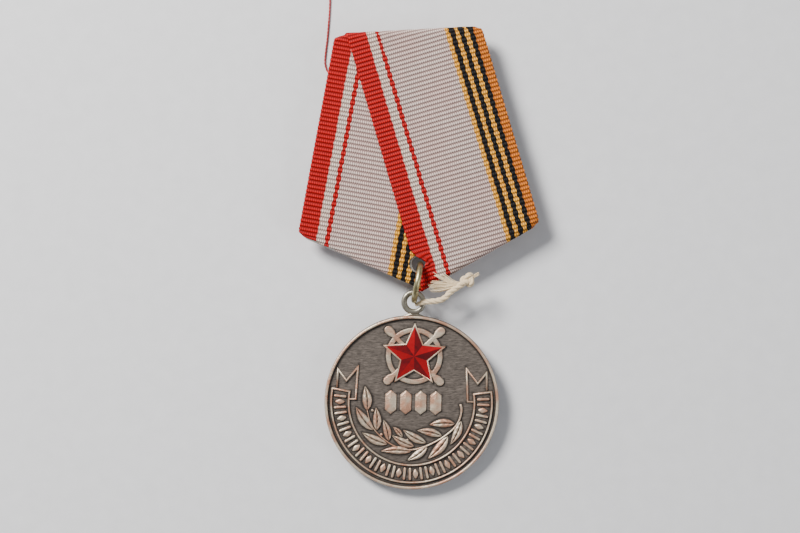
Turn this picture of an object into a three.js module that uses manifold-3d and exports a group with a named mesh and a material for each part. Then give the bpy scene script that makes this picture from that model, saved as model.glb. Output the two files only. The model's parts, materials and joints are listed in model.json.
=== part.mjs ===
// A military service medal: a struck disc with an enamelled star, hung by a jump ring from a
// pentagonal pin block that is dressed in a folded striped ribbon.
//
// Units are millimetres. +Z points out of the front face, +Y from the medal to the top of the block.
// The medal lies on its back, so z = 0 is the surface under it.
import * as THREE from "three";
import { mergeVertices } from "three/addons/utils/BufferGeometryUtils.js";
import Module from "manifold-3d";

const wasm = await Module();
wasm.setup();
const { Manifold, Mesh: SolidMesh } = wasm;

// Driving dimensions. Block coordinates have their origin at the tip hole, half way through the plate.
const BLOCK_TOP = 43.4;
const BLOCK_TOP_HALF_WIDTH = 13.3;
const BLOCK_WIDE_HALF_WIDTH = 22.2;
const BLOCK_WIDE_Y = 6;
const BLOCK_TIP_Y = -5.2;
const CORNER_RADIUS = 1.1;
const TIP_HOLE_RADIUS = 1.55;
const PLATE_THICKNESS = 0.8;
const RIBBON_WIDTH = 24;
const RIBBON_THICKNESS = 0.3;
const LAYER_GAP = 0.05;
const TOP_FLAP = 7.5;
const LOWER_FLAP = 6.6;

const RING_RADIUS = 3.4;
const WIRE_RADIUS = 0.55;
const RING_YAW = -12.9;
const REST_HEIGHT = RING_RADIUS + WIRE_RADIUS;

const DISC_RADIUS = 16;
const DISC_HALF_THICKNESS = 1.1;
const FIELD_Z = 0.6;
const RELIEF_TOP = 1.0;
const RIM_WIDTH = 0.55;
const EYELET_RADIUS = 1.775;
const EYELET_BAND = 0.85;
const EYELET_TO_DISC = 18.45;
const EYELET_OFFSET = 7.1;
const MEDAL_YAW = -4.3;
const MEDAL_DROOP = 4.4;

const STAR_CENTRE = [0.3, 8.6];
const STAR_RADIUS = 5.75;
const STAR_NOTCH = 2.65;

const PIN_BAR_Y = 26;
const PIN_BAR_LENGTH = 25;
const PIN_BAR_WIDTH = 4.4;
const PIN_BAR_THICKNESS = 0.5;
const NEEDLE_Z = -2.65;
const NEEDLE_RADIUS = 0.42;
const NEEDLE_LENGTH = 23.5;

const RED_THREAD_DIAMETER = 0.35;
const TIE_THREAD_DIAMETER = 1.2;

const degrees = THREE.MathUtils.degToRad;
const vector = (x, y, z) => new THREE.Vector3(x, y, z);

// Materials, one for each kind of surface.
function finish(color, roughness, metalness) {
  return new THREE.MeshStandardMaterial({ color, roughness, metalness });
}
const aluminium = finish(0xa8a49c, 0.45, 0.9);
const struckMetal = finish(0x8f857c, 0.5, 0.85);
const steel = finish(0x9a9892, 0.4, 0.9);
const ringWire = finish(0xaaa582, 0.35, 0.9);
const enamel = finish(0xc8141e, 0.12, 0);
const ribbonCloth = finish(0xc9beb4, 0.85, 0);
const redThread = finish(0xb4181c, 0.85, 0);
const linenThread = finish(0xe1cda5, 0.9, 0);

const assembly = new THREE.Group();
const block = new THREE.Group();
assembly.add(block);

function addPart(parent, name, geometry, material) {
  const mesh = new THREE.Mesh(geometry, material);
  mesh.name = name;
  parent.add(mesh);
  return mesh;
}

// Booleans: a closed geometry becomes a solid, and a solid becomes a geometry again.
function solid(geometry) {
  const bare = geometry.clone();
  bare.deleteAttribute("normal");
  bare.deleteAttribute("uv");
  const merged = mergeVertices(bare, 1e-4);
  const triVerts = new Uint32Array(merged.index.array);
  const vertProperties = new Float32Array(merged.attributes.position.array);
  return new Manifold(new SolidMesh({ numProp: 3, vertProperties, triVerts }));
}

function geometryOf(manifold) {
  const mesh = manifold.getMesh();
  const geometry = new THREE.BufferGeometry();
  geometry.setAttribute("position", new THREE.BufferAttribute(mesh.vertProperties, 3));
  geometry.setIndex(new THREE.BufferAttribute(mesh.triVerts, 1));
  return geometry;
}

// A flat shape made solid between two heights.
function prism(shape, low, high, curveSegments = 4) {
  const options = { depth: high - low, bevelEnabled: false, curveSegments };
  return new THREE.ExtrudeGeometry(shape, options).translate(0, 0, low);
}

function cylinder(radius, length, axis, centre, segments = 24) {
  const geometry = new THREE.CylinderGeometry(radius, radius, length, segments);
  if (axis === "z") geometry.rotateX(Math.PI / 2);
  if (axis === "x") geometry.rotateZ(Math.PI / 2);
  return geometry.translate(...centre);
}

function tube(points, radius, sides, steps) {
  const circle = new THREE.Shape();
  circle.absarc(0, 0, radius, 0, 2 * Math.PI);
  const extrudePath = new THREE.CatmullRomCurve3(points);
  const options = { extrudePath, steps, curveSegments: sides / 2, bevelEnabled: false };
  return new THREE.ExtrudeGeometry(circle, options);
}

function polygon(corners) {
  return new THREE.Shape(corners.map(([x, y]) => new THREE.Vector2(x, y)));
}

// A polygon with each corner rounded by a quadratic curve that starts `radius` before it.
function roundedPolygon(corners, radius) {
  const points = corners.map(([x, y]) => new THREE.Vector2(x, y));
  const shape = new THREE.Shape();
  const nearCorner = (corner, towards) => towards.clone().sub(corner).setLength(radius).add(corner);
  points.forEach((corner, i) => {
    const before = nearCorner(corner, points[(i + points.length - 1) % points.length]);
    const after = nearCorner(corner, points[(i + 1) % points.length]);
    if (i === 0) shape.moveTo(before.x, before.y);
    else shape.lineTo(before.x, before.y);
    shape.quadraticCurveTo(corner.x, corner.y, after.x, after.y);
  });
  shape.closePath();
  return shape;
}

// The block's pentagon, with its top, side and lower edges moved inwards by the given insets.
const sideSlope = (BLOCK_TOP - BLOCK_WIDE_Y) / (BLOCK_WIDE_HALF_WIDTH - BLOCK_TOP_HALF_WIDTH);
const sideAngle = Math.atan(1 / sideSlope);
const lowerSlope = (BLOCK_WIDE_Y - BLOCK_TIP_Y) / BLOCK_WIDE_HALF_WIDTH;
const lowerAngle = Math.atan(lowerSlope);

function pentagon(top, side, lower) {
  const sideX = (y) => BLOCK_WIDE_HALF_WIDTH - (y - BLOCK_WIDE_Y) / sideSlope - side / Math.cos(sideAngle);
  const tipY = BLOCK_TIP_Y + lower / Math.cos(lowerAngle);
  const topY = BLOCK_TOP - top;
  const wideY = (tipY + lowerSlope * sideX(0)) / (1 + lowerSlope / sideSlope);
  const wideX = sideX(wideY);
  return [[-sideX(topY), topY], [-wideX, wideY], [0, tipY], [wideX, wideY], [sideX(topY), topY]];
}

const tipHole = solid(cylinder(TIP_HOLE_RADIUS, 6, "z", [0, 0, 0], 28));
const halfPlate = PLATE_THICKNESS / 2;

// Pin bar rivets: the bar and the plate are drilled for them.
const rivetPlaces = [-6.5, 6.5].map((x) => [x, PIN_BAR_Y]);
const RIVET_RADIUS = 0.6;
const RIVET_HOLE_RADIUS = 0.9;
function rivetHoles(low, high) {
  const holes = rivetPlaces.map(([x, y]) => {
    return solid(cylinder(RIVET_HOLE_RADIUS, high - low, "z", [x, y, (low + high) / 2], 20));
  });
  return holes[0].add(holes[1]);
}

function makePlate() {
  const shape = roundedPolygon(pentagon(0.8, 0.3, 0.8), CORNER_RADIUS);
  const plate = solid(prism(shape, -halfPlate, halfPlate));
  addPart(block, "block_plate", geometryOf(plate.subtract(tipHole).subtract(rivetHoles(-2, 2))), aluminium);
}

// A length of ribbon runs down the front along one side of the plate. It wraps round the top edge
// and round the lower edge, and its two ends lie flat on the back. `level` counts the layers from
// the plate outwards, and `side` is -1 along the left side and +1 along the right.
function makeRibbon(name, side, level) {
  const pitch = RIBBON_THICKNESS + LAYER_GAP;
  const inner = halfPlate + LAYER_GAP + level * pitch;
  const outer = inner + RIBBON_THICKNESS;
  const wrap = 0.8 - LAYER_GAP - level * pitch;
  const reach = 60;
  const lean = reach / sideSlope;
  const across = RIBBON_WIDTH / Math.cos(sideAngle);
  const topEdge = (y) => side * (BLOCK_WIDE_HALF_WIDTH - (y - BLOCK_WIDE_Y) / sideSlope);
  const high = topEdge(BLOCK_WIDE_Y + reach);
  const low = high + side * 2 * lean;
  const strip = [[high, BLOCK_WIDE_Y + reach], [low, BLOCK_WIDE_Y - reach]];
  const stripShape = polygon([...strip, ...strip.reverse().map(([x, y]) => [x - side * across, y])]);
  const outside = wrap - RIBBON_THICKNESS;
  const outline = roundedPolygon(pentagon(outside, 0, outside), CORNER_RADIUS);
  const hollow = roundedPolygon(pentagon(wrap, -3, wrap), CORNER_RADIUS);
  const bareBack = polygon(pentagon(TOP_FLAP, -3, LOWER_FLAP));
  const wound = solid(prism(outline, -outer, outer))
    .intersect(solid(prism(stripShape, -3, 3)))
    .subtract(solid(prism(hollow, -inner, inner)))
    .subtract(solid(prism(bareBack, -3, 0)))
    .subtract(tipHole);
  addPart(block, name, geometryOf(wound), ribbonCloth);
}

// Zigzag seams hold the ribbon's ends together behind the plate.
const SEAM_RADIUS = 0.14;
const seamZ = -(halfPlate + 2 * (LAYER_GAP + RIBBON_THICKNESS) + SEAM_RADIUS + LAYER_GAP);
function makeSeam(name, from, to, stitches, amplitude) {
  const start = vector(...from, seamZ);
  const run = vector(...to, seamZ).sub(start);
  const sideways = vector(-run.y, run.x, 0).setLength(amplitude);
  const points = [];
  for (let i = 0; i <= stitches; i += 1) {
    const point = start.clone().addScaledVector(run, i / stitches);
    points.push(point.addScaledVector(sideways, i % 2 ? 1 : -1));
  }
  addPart(block, name, tube(points, SEAM_RADIUS, 6, stitches * 3), redThread);
}

// The pin bar is one stamping: a strip, two hinge ears at its left end and a snap catch at its right.
const barTop = -(halfPlate + LAYER_GAP);
const barBottom = barTop - PIN_BAR_THICKNESS;
const EAR_RADIUS = REST_HEIGHT + NEEDLE_Z;
const EAR_INSIDE = 0.9;
const EAR_THICKNESS = 0.55;
const hingeX = -PIN_BAR_LENGTH / 2 + EAR_RADIUS;
function makePinBar() {
  const strip = new THREE.BoxGeometry(PIN_BAR_LENGTH, PIN_BAR_WIDTH, PIN_BAR_THICKNESS);
  let bar = solid(strip.translate(0, PIN_BAR_Y, (barTop + barBottom) / 2)).subtract(rivetHoles(-3, 0));
  for (const side of [-1, 1]) {
    const y = PIN_BAR_Y + side * (EAR_INSIDE + EAR_THICKNESS / 2);
    const eye = cylinder(EAR_RADIUS, EAR_THICKNESS, "y", [hingeX, y, NEEDLE_Z], 28);
    const height = barTop - NEEDLE_Z;
    const root = new THREE.BoxGeometry(2 * EAR_RADIUS, EAR_THICKNESS, height);
    bar = bar.add(solid(eye)).add(solid(root.translate(hingeX, y, NEEDLE_Z + height / 2)));
    const leafHeight = REST_HEIGHT + barTop;
    const leaf = new THREE.BoxGeometry(2.6, 0.4, leafHeight);
    const leafY = PIN_BAR_Y + side * (NEEDLE_RADIUS + 0.15 + 0.2);
    const leafX = PIN_BAR_LENGTH / 2 - 1.8;
    bar = bar.add(solid(leaf.translate(leafX, leafY, barTop - leafHeight / 2)));
  }
  const bore = cylinder(0.75, 6, "y", [hingeX, PIN_BAR_Y, NEEDLE_Z], 20);
  addPart(block, "pin_bar", geometryOf(bar.subtract(solid(bore))), steel);
}

// Each rivet has a domed head under the bar, and its shank reaches the front face of the plate.
function makeRivets() {
  const shankEnd = PIN_BAR_THICKNESS + PLATE_THICKNESS;
  rivetPlaces.forEach(([x, y], i) => {
    const profile = [
      [0, -0.6], [0.7, -0.5], [1.15, -0.25], [1.25, -LAYER_GAP], [RIVET_RADIUS, -LAYER_GAP],
      [RIVET_RADIUS, shankEnd], [0, shankEnd],
    ].map(([r, z]) => new THREE.Vector2(r, z));
    const rivet = new THREE.LatheGeometry(profile, 20).rotateX(Math.PI / 2);
    addPart(block, i ? "bar_rivet_right" : "bar_rivet_left", rivet.translate(x, y, barBottom), aluminium);
  });
}

function makeHingeRivet() {
  const half = EAR_INSIDE + EAR_THICKNESS;
  const profile = [
    [0, -half - 0.5], [0.7, -half - 0.4], [0.95, -half - 0.05], [0.45, -half - 0.05],
    [0.45, half + 0.05], [0.95, half + 0.05], [0.7, half + 0.4], [0, half + 0.5],
  ].map(([r, y]) => new THREE.Vector2(r, y));
  const rivet = new THREE.LatheGeometry(profile, 20).translate(hingeX, PIN_BAR_Y, NEEDLE_Z);
  addPart(block, "hinge_rivet", rivet, steel);
}

// The needle turns on the hinge rivet, which it is bored for, and lies between the catch's leaves.
function makeNeedle() {
  const knuckle = solid(cylinder(1.05, 1.5, "y", [0, 0, 0], 24));
  const shaft = [
    [0, 0.3], [NEEDLE_RADIUS, 0.3], [NEEDLE_RADIUS, NEEDLE_LENGTH - 4],
    [0.28, NEEDLE_LENGTH - 1.5], [0.06, NEEDLE_LENGTH], [0, NEEDLE_LENGTH],
  ].map(([r, x]) => new THREE.Vector2(r, x));
  const needle = knuckle
    .add(solid(new THREE.LatheGeometry(shaft, 16).rotateZ(-Math.PI / 2)))
    .subtract(solid(cylinder(0.52, 4, "y", [0, 0, 0], 20)));
  addPart(block, "needle", geometryOf(needle).translate(hingeX, PIN_BAR_Y, NEEDLE_Z), steel);
}

// Suspension. The ring stands on edge in the block's tip hole, turned by its yaw.
const suspension = new THREE.Group();
suspension.rotation.z = degrees(RING_YAW);
block.add(suspension);

function makeJumpRing() {
  const ring = new THREE.TorusGeometry(RING_RADIUS, WIRE_RADIUS, 10, 44).rotateY(Math.PI / 2);
  addPart(suspension, "jump_ring", ring.translate(0, -RING_RADIUS, 0), ringWire);
}

// The medal droops about the ring's centre until its far rim rests on the surface.
const pendant = new THREE.Group();
pendant.position.y = -RING_RADIUS;
pendant.rotation.x = degrees(MEDAL_DROOP);
suspension.add(pendant);
const medal = new THREE.Group();
const medalTurn = degrees(MEDAL_YAW - RING_YAW);
medal.rotation.z = medalTurn;
medal.position.x = EYELET_TO_DISC * Math.sin(medalTurn);
medal.position.y = RING_RADIUS - EYELET_OFFSET - EYELET_TO_DISC * Math.cos(medalTurn);
pendant.add(medal);

function makeEyelet() {
  const half = EYELET_BAND / 2;
  const section = roundedPolygon([
    [EYELET_RADIUS - half, -0.5], [EYELET_RADIUS + half, -0.5],
    [EYELET_RADIUS + half, 0.5], [EYELET_RADIUS - half, 0.5],
  ], 0.28).getPoints(2);
  section.push(section[0].clone());
  const eyelet = new THREE.LatheGeometry(section, 36).rotateX(Math.PI / 2);
  const trimmed = solid(eyelet.translate(0, EYELET_TO_DISC, 0));
  const clearance = solid(cylinder(DISC_RADIUS + 0.05, 4, "z", [0, 0, 0], 96));
  addPart(medal, "eyelet", geometryOf(trimmed.subtract(clearance)), steel);
}

// Relief shapes on the struck face.
function star(outer, inner) {
  const corners = [];
  for (let i = 0; i < 10; i += 1) {
    const radius = i % 2 ? inner : outer;
    const angle = degrees(90 + 36 * i);
    corners.push([radius * Math.cos(angle), radius * Math.sin(angle)]);
  }
  return corners;
}

const SCROLL_INNER = 11.4;
const SCROLL_OUTER = 14.9;
const SCROLL_END = 9;
const LINE = 0.35;
function arcBand(inner, outer, from, to) {
  const band = new THREE.Shape();
  band.absarc(0, 0, outer, degrees(from), degrees(to));
  band.absarc(0, 0, inner, degrees(to), degrees(from), true);
  return band;
}

function scroll() {
  const start = 180 - SCROLL_END;
  const end = 360 + SCROLL_END;
  const endLine = 1.6;
  const frame = arcBand(SCROLL_INNER, SCROLL_OUTER, start, end);
  const inside = arcBand(SCROLL_INNER + LINE, SCROLL_OUTER - LINE, start + endLine, end - endLine);
  const pieces = [
    solid(prism(frame, 0.3, RELIEF_TOP - 0.1, 40)).subtract(solid(prism(inside, 0, 2, 40))),
  ];
  for (const side of [-1, 1]) {
    const tail = [[13.6, 5.9], [12.1, 3.75], [10, 6.05], [10.2, 0.5], [11.5, 0.5], [13.7, 2.4]];
    const ridge = polygon(tail.map(([x, y]) => [side * x, y]));
    pieces.push(solid(prism(ridge, 0.3, RELIEF_TOP - 0.25)));
  }
  return pieces;
}

// A running pattern of radial bars fills the scroll.
function scrollPattern() {
  const pieces = [];
  const count = 26;
  const middle = (SCROLL_INNER + SCROLL_OUTER) / 2;
  for (let i = 0; i < count; i += 1) {
    const angle = degrees(180 - SCROLL_END + 6 + (i * (180 + 2 * SCROLL_END - 12)) / (count - 1));
    const bar = new THREE.BoxGeometry(i % 2 ? 2.1 : 1.1, 0.6, 0.7).translate(middle, 0, RELIEF_TOP - 0.45);
    pieces.push(solid(bar.rotateZ(angle)));
  }
  return pieces;
}

// A ring and two crossed batons stand behind the star.
function emblem() {
  const [x, y] = STAR_CENTRE;
  const band = new THREE.Shape();
  band.absarc(x, y, 5.3, 0, 2 * Math.PI);
  band.holes.push(new THREE.Path().absarc(x, y, 4.3, 0, 2 * Math.PI, true));
  const pieces = [solid(prism(band, 0.3, RELIEF_TOP - 0.15, 32))];
  for (const lean of [-45, 45]) {
    const baton = new THREE.BoxGeometry(1.5, 14.6, 0.6).rotateZ(degrees(lean));
    pieces.push(solid(baton.translate(x, y, RELIEF_TOP - 0.5)));
  }
  return pieces;
}

function starSetting() {
  const wall = polygon(star(STAR_RADIUS, STAR_NOTCH));
  const raised = solid(prism(wall, 0.3, RELIEF_TOP + 0.1)).translate([...STAR_CENTRE, 0]);
  const pocket = polygon(star(STAR_RADIUS - 0.95, STAR_NOTCH - 0.42));
  return [raised, solid(prism(pocket, FIELD_Z, 3)).translate([...STAR_CENTRE, 0])];
}

// Four faceted lozenges stand in a row under the star.
function lozenges() {
  return [-1.5, -0.5, 0.5, 1.5].map((place) => {
    const gem = new THREE.CylinderGeometry(0.5, 1, 0.6, 4).rotateX(Math.PI / 2);
    return solid(gem.scale(1.15, 2.45, 1).translate(0.3 + 2.75 * place, 0.05, 0.75));
  });
}

// The laurel branch: a curved stem, and leaves that each run from a base to a tip.
const LEAVES = [
  [[-8.1, -1.7], [-8.6, 2.7]], [[-6.9, -5.3], [-10.1, -1.1]], [[-6.4, -5.5], [-6.5, -1]],
  [[-4.2, -7.8], [-8.9, -5.8]], [[-3.9, -7.3], [-5, -3.3]], [[0.7, -8.1], [-3.4, -6.2]],
  [[-1.5, -6.3], [-3.2, -4.7]], [[2.9, -7.5], [-1.4, -5.1]], [[0.2, -9], [-5.4, -9.1]],
  [[2.9, -8.1], [-0.5, -10.6]], [[5.8, -6], [1.2, -5.2]], [[6.7, -6.2], [3.3, -10.2]],
  [[8.1, -3.8], [3.4, -4]], [[9.1, -3.3], [7.4, -7.5]],
];
function laurel() {
  const stem = [[9, -0.1], [8.6, -3], [6.1, -5.8], [1.2, -8.2], [-2.7, -8], [-6.4, -5.5], [-8.1, -1.7]];
  const pieces = [solid(tube(stem.map(([x, y]) => vector(x, y, FIELD_Z)), 0.28, 6, 24))];
  for (const [base, tip] of LEAVES) {
    const length = Math.hypot(tip[0] - base[0], tip[1] - base[1]);
    const width = 0.19 * length;
    const leaf = new THREE.Shape();
    leaf.moveTo(0, 0);
    leaf.quadraticCurveTo(length * 0.4, 2 * width, length, 0);
    leaf.quadraticCurveTo(length * 0.4, -2 * width, 0, 0);
    const turn = Math.atan2(tip[1] - base[1], tip[0] - base[0]);
    const blade = prism(leaf, 0.3, RELIEF_TOP - 0.1, 4).rotateZ(turn);
    pieces.push(solid(blade.translate(base[0], base[1], 0)));
  }
  return pieces;
}

// The disc is struck in one with its rim and its relief.
function makeDisc() {
  const back = -DISC_HALF_THICKNESS;
  const inside = DISC_RADIUS - RIM_WIDTH;
  const profile = [
    [0, back + 0.3], [inside - 0.2, back + 0.3], [inside, back], [DISC_RADIUS - 0.15, back],
    [DISC_RADIUS, back + 0.15], [DISC_RADIUS, DISC_HALF_THICKNESS - 0.15],
    [DISC_RADIUS - 0.15, DISC_HALF_THICKNESS], [inside, DISC_HALF_THICKNESS],
    [inside - 0.2, FIELD_Z], [0, FIELD_Z],
  ].map(([r, z]) => new THREE.Vector2(r, z));
  const blank = solid(new THREE.LatheGeometry(profile, 84).rotateX(Math.PI / 2));
  const [setting, pocket] = starSetting();
  const relief = [...scroll(), ...scrollPattern(), ...emblem(), ...lozenges(), ...laurel(), setting];
  const struck = relief.reduce((whole, piece) => whole.add(piece), blank).subtract(pocket);
  addPart(medal, "medal_disc", geometryOf(struck), struckMetal);
}

// The enamel fills the star: ten facets rise from its edge to a point at the centre.
function makeEnamel() {
  const outline = star(STAR_RADIUS - 1.5, STAR_NOTCH - 0.75);
  const low = FIELD_Z + LAYER_GAP;
  const positions = [];
  const corner = (i, z) => [...outline[i % 10], z];
  for (let i = 0; i < 10; i += 1) {
    positions.push(...corner(i, 0.95), ...corner(i + 1, 0.95), 0, 0, 1.6);
    positions.push(...corner(i + 1, low), ...corner(i, low), 0, 0, low);
    positions.push(...corner(i, low), ...corner(i + 1, low), ...corner(i + 1, 0.95));
    positions.push(...corner(i, low), ...corner(i + 1, 0.95), ...corner(i, 0.95));
  }
  const geometry = new THREE.BufferGeometry();
  geometry.setAttribute("position", new THREE.Float32BufferAttribute(positions, 3));
  addPart(medal, "star_enamel", geometry.translate(...STAR_CENTRE, 0), enamel);
}

// Loose threads. A red sewing thread comes out from under the block's top left corner.
function makeRedThread() {
  const floor = RED_THREAD_DIAMETER / 2 - REST_HEIGHT + 0.03;
  const route = [
    [-10.4, 34.4, floor + 1.6], [-11, 34.8, floor + 0.9], [-11.9, 35.2, floor + 0.35], [-13, 35.6, floor],
    [-14, 35.9, floor], [-14.9, 36.3, floor], [-15.5, 37.2, floor], [-15.75, 38.6, floor],
    [-15.5, 40.6, floor], [-15.1, 42.9, floor], [-14.75, 45.4, floor], [-14.45, 47.6, floor],
    [-14.25, 49.7, floor], [-14.1, 51.8, floor], [-14.2, 54, floor], [-14.6, 56.2, floor],
    [-15.2, 58.3, floor], [-15.9, 60.2, floor], [-16.5, 62.3, floor],
  ].map((point) => vector(...point));
  addPart(block, "loose_red_thread", tube(route, RED_THREAD_DIAMETER / 2, 8, 44), redThread);
}

// The linen tie thread runs from beside the eyelet, level with the ribbon, to the block's lower edge.
function makeTieThread() {
  const height = 1.85;
  const route = [
    [1.7, -6.95], [2.5, -6.93], [3.4, -6.8], [4.25, -6.25], [5, -5.6],
    [5.8, -5.05], [6.65, -4.57], [7.5, -4], [8.3, -3.55], [9.3, -3.05],
  ].map(([x, y]) => vector(x, y, height));
  addPart(block, "tie_thread", tube(route, TIE_THREAD_DIAMETER / 2, 8, 12), linenThread);
}

makePlate();
makeRibbon("ribbon_left_panel", -1, 0);
makeRibbon("ribbon_right_panel", 1, 1);
makeSeam("upper_seam", [-11.6, 38.4], [11.6, 38.4], 20, 0.9);
makeSeam("lower_left_seam", [-17.5, 6.4], [-4.6, -0.1], 12, 0.7);
makeSeam("lower_right_seam", [4.6, -0.1], [17.5, 6.4], 12, 0.7);
makePinBar();
makeRivets();
makeHingeRivet();
makeNeedle();
makeJumpRing();
makeEyelet();
makeDisc();
makeEnamel();
makeRedThread();
makeTieThread();

// The origin is at the centre of the object's box, without its loose threads, on the surface below.
const box = new THREE.Box3();
assembly.updateMatrixWorld(true);
assembly.traverse((part) => {
  if (part.isMesh && !part.name.endsWith("_thread")) box.expandByObject(part, true);
});
const middle = box.getCenter(vector(0, 0, 0));
block.position.set(-middle.x, -middle.y, -box.min.z);

export default assembly;
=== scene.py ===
"""A military service medal lying face up on a pale floor.

Lengths are in millimetres in the block's or the medal's own coordinates, and each mesh is turned
into metres in the shared frame when it is made. Block coordinates have their origin at the tip hole,
half way through the plate; medal coordinates at the centre of the disc, half way through it.
"""
import json
import math
from math import pi

import bpy
import numpy as np
from mathutils import Matrix, Vector, kdtree


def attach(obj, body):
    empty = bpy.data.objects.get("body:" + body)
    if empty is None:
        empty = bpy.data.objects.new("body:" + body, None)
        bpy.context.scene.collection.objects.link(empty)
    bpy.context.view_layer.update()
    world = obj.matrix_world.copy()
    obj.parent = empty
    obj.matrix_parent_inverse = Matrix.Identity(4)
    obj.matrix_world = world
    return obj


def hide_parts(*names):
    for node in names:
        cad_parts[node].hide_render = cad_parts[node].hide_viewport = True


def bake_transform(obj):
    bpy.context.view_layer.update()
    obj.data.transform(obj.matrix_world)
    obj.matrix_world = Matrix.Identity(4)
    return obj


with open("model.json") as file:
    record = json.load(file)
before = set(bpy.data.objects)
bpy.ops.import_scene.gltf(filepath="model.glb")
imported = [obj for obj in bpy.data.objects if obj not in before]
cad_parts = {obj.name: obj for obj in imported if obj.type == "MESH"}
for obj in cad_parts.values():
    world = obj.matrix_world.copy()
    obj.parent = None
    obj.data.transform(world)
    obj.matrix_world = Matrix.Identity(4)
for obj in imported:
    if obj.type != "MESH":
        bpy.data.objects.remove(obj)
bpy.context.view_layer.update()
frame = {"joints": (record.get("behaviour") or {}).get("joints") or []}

MM = 0.001
joints = {joint["name"]: joint for joint in frame["joints"]}
HOLE = Vector(joints["ring_swivel"]["pos_m"])
RING_CENTRE = Vector(joints["medal_swing"]["pos_m"])
RING_NORMAL = -Vector(joints["medal_swing"]["axis"])

# Sizes that the CAD parts were built to.
BLOCK_TOP, BLOCK_TOP_HALF = 43.4, 13.3
BLOCK_WIDE_Y, BLOCK_WIDE_HALF = 6.0, 22.2
BLOCK_TIP_Y, TIP_HOLE_RADIUS = -5.2, 1.55
RING_RADIUS, WIRE_RADIUS = 3.4, 0.55
EYELET_OFFSET, EYELET_TO_DISC = 7.1, 18.45
LOOP_RADIUS, LOOP_BAND = 1.78, 0.49
MEDAL_TURN, MEDAL_DROOP = math.radians(8.6), math.radians(4.4)
DISC_RADIUS, DISC_HALF, FIELD_Z = 16.0, 1.1, 0.6
STAR_CENTRE = np.array([0.3, 8.6])
STAR_BORDER, STAR_ENAMEL = (5.7, 2.58), (5.46, 2.46)
FLOOR_Z = -HOLE.z / MM

scale = Matrix.Scale(MM, 4)
BLOCK = Matrix.Translation(HOLE) @ scale
ring_yaw = math.atan2(RING_NORMAL.y, RING_NORMAL.x)
RING = Matrix.Translation(RING_CENTRE) @ Matrix.Rotation(ring_yaw, 4, "Z") @ scale
to_disc = Vector((
    EYELET_TO_DISC * math.sin(MEDAL_TURN),
    RING_RADIUS - EYELET_OFFSET - EYELET_TO_DISC * math.cos(MEDAL_TURN),
    0,
))
MEDAL = (
    RING
    @ Matrix.Rotation(MEDAL_DROOP, 4, "X")
    @ Matrix.Translation(to_disc)
    @ Matrix.Rotation(MEDAL_TURN, 4, "Z")
)


# --- camera, light and floor

def make_camera():
    camera = bpy.data.objects.new("camera", bpy.data.cameras.new("camera"))
    bpy.context.collection.objects.link(camera)
    camera.data.lens = 85
    camera.data.sensor_width = 36
    view_width = 0.1468
    distance = view_width * camera.data.lens / camera.data.sensor_width
    target = HOLE + Vector((-0.00378, -0.00026, 0))
    pitch, roll = math.radians(2.0), math.radians(-3.0)
    turn = Matrix.Rotation(roll, 4, "Z") @ Matrix.Rotation(pitch, 4, "X")
    camera.matrix_world = Matrix.Translation(target) @ turn @ Matrix.Translation((0, 0, distance))
    bpy.context.scene.camera = camera


def area_light(name, place, size, power, tint):
    light = bpy.data.objects.new(name, bpy.data.lights.new(name, "AREA"))
    bpy.context.collection.objects.link(light)
    light.data.size = size
    light.data.energy = power
    light.data.color = tint
    light.location = place
    light.rotation_euler = (-Vector(place)).to_track_quat("-Z", "Y").to_euler()


def make_lights():
    area_light("key", (-0.30, 0.34, 0.40), 0.2, 8.4, (1.0, 0.985, 0.96))
    area_light("fill", (0.5, -0.22, 0.36), 0.35, 1.3, (0.95, 0.97, 1.0))
    world = bpy.data.worlds.new("studio")
    bpy.context.scene.world = world
    world.use_nodes = True
    background = world.node_tree.nodes["Background"]
    background.inputs["Color"].default_value = (0.92, 0.95, 1.0, 1)
    background.inputs["Strength"].default_value = 0.3


# --- mesh and material helpers

def new_piece(name, body, matrix, material, smooth=True, uv=None, attributes=None):
    """A mesh from (points, faces). uv gives each point its place in millimetres on the surface."""
    vertices, faces = body
    mesh = bpy.data.meshes.new(name)
    mesh.from_pydata(np.asarray(vertices, float).tolist(), [], [list(map(int, f)) for f in faces])
    mesh.transform(matrix)
    if uv is not None:
        layer = mesh.uv_layers.new(name="surface")
        corner = np.zeros(len(mesh.loops), int)
        mesh.loops.foreach_get("vertex_index", corner)
        layer.data.foreach_set("uv", np.asarray(uv, np.float32)[corner].ravel())
    for key, values in (attributes or {}).items():
        attribute = mesh.attributes.new(key, "FLOAT", "POINT")
        attribute.data.foreach_set("value", np.asarray(values, np.float32))
    mesh.polygons.foreach_set("use_smooth", [smooth] * len(mesh.polygons))
    mesh.materials.append(material)
    mesh.validate()
    piece = bpy.data.objects.new(name, mesh)
    bpy.context.collection.objects.link(piece)
    return piece


def place(piece, body, slot, *nodes):
    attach(piece, body)
    if nodes:
        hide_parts(*nodes)
    return piece


def grid_faces(rows, columns, close_rows=False, close_columns=False):
    """Quads over a grid of vertices numbered row by row, facing out for a right-handed grid."""
    i = np.arange(rows if close_rows else rows - 1)
    j = np.arange(columns if close_columns else columns - 1)
    i, j = (a.ravel() for a in np.meshgrid(i, j, indexing="ij"))
    down, right = (i + 1) % rows, (j + 1) % columns
    return np.stack([i * columns + j, i * columns + right, down * columns + right, down * columns + j], 1)


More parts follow.
